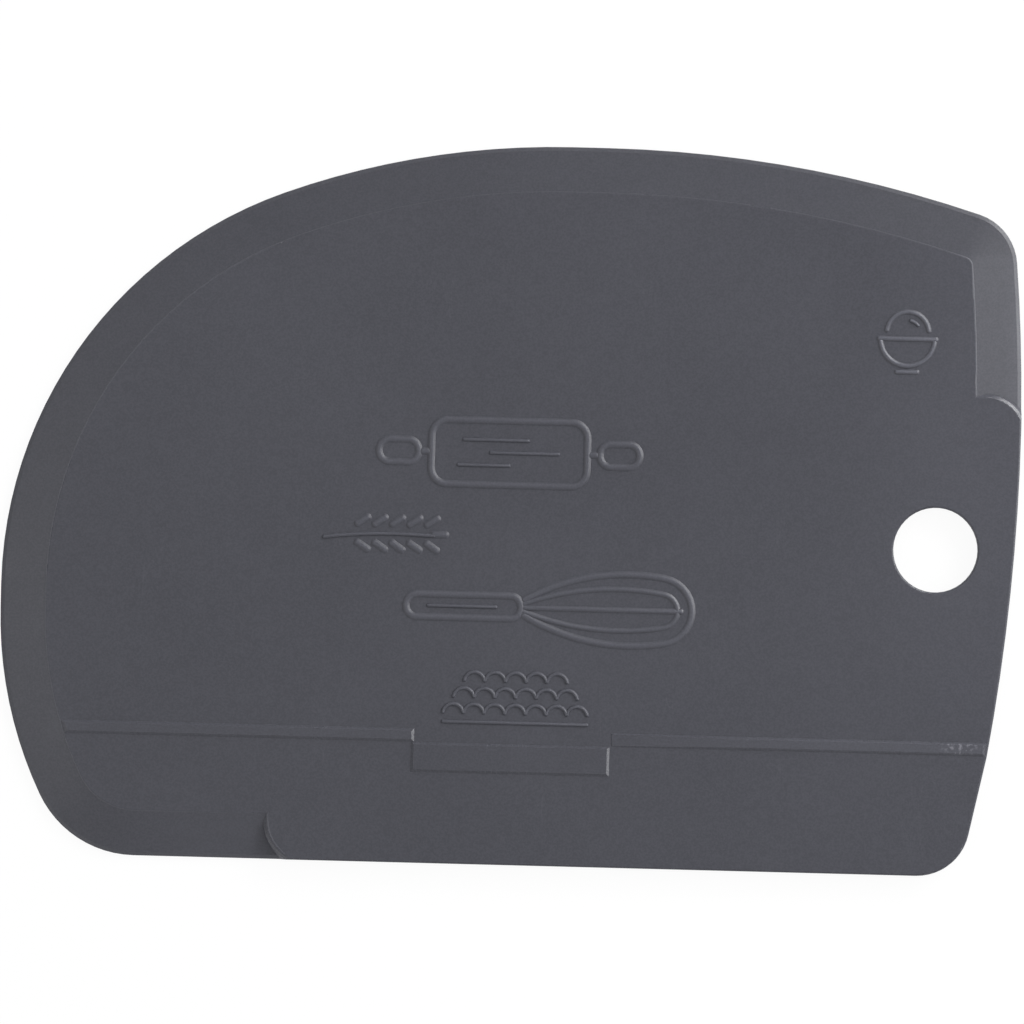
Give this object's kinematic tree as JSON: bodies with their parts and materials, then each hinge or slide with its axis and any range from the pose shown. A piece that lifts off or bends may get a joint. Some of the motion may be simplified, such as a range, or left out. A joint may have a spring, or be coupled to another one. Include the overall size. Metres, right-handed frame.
{
  "type": "bowl scraper",
  "caption": "Flat bowl scraper: a stiff card with a straight scraping edge, finger bar and hanging hole, and a thin flexible lip bonded round its curved side.",
  "frame": {"origin": "middle of the card's footprint, on its flat back face", "axes": "+Z out of the front face with the finger bar, straight scraping edge along X on the -Y side, hanging hole towards +X, curved lip round the -X and +Y sides"},
  "size_m": [0.12, 0.085, 0.0022],
  "materials": {
    "card_plastic": "fine spark-eroded matte, dark grey with a slight blue cast",
    "lip_plastic": "satin, dark grey to match the card"
  },
  "bodies": {
    "root": {"stiff_body": "card_plastic", "flexible_lip": "lip_plastic"}
  },
  "joints": []
}
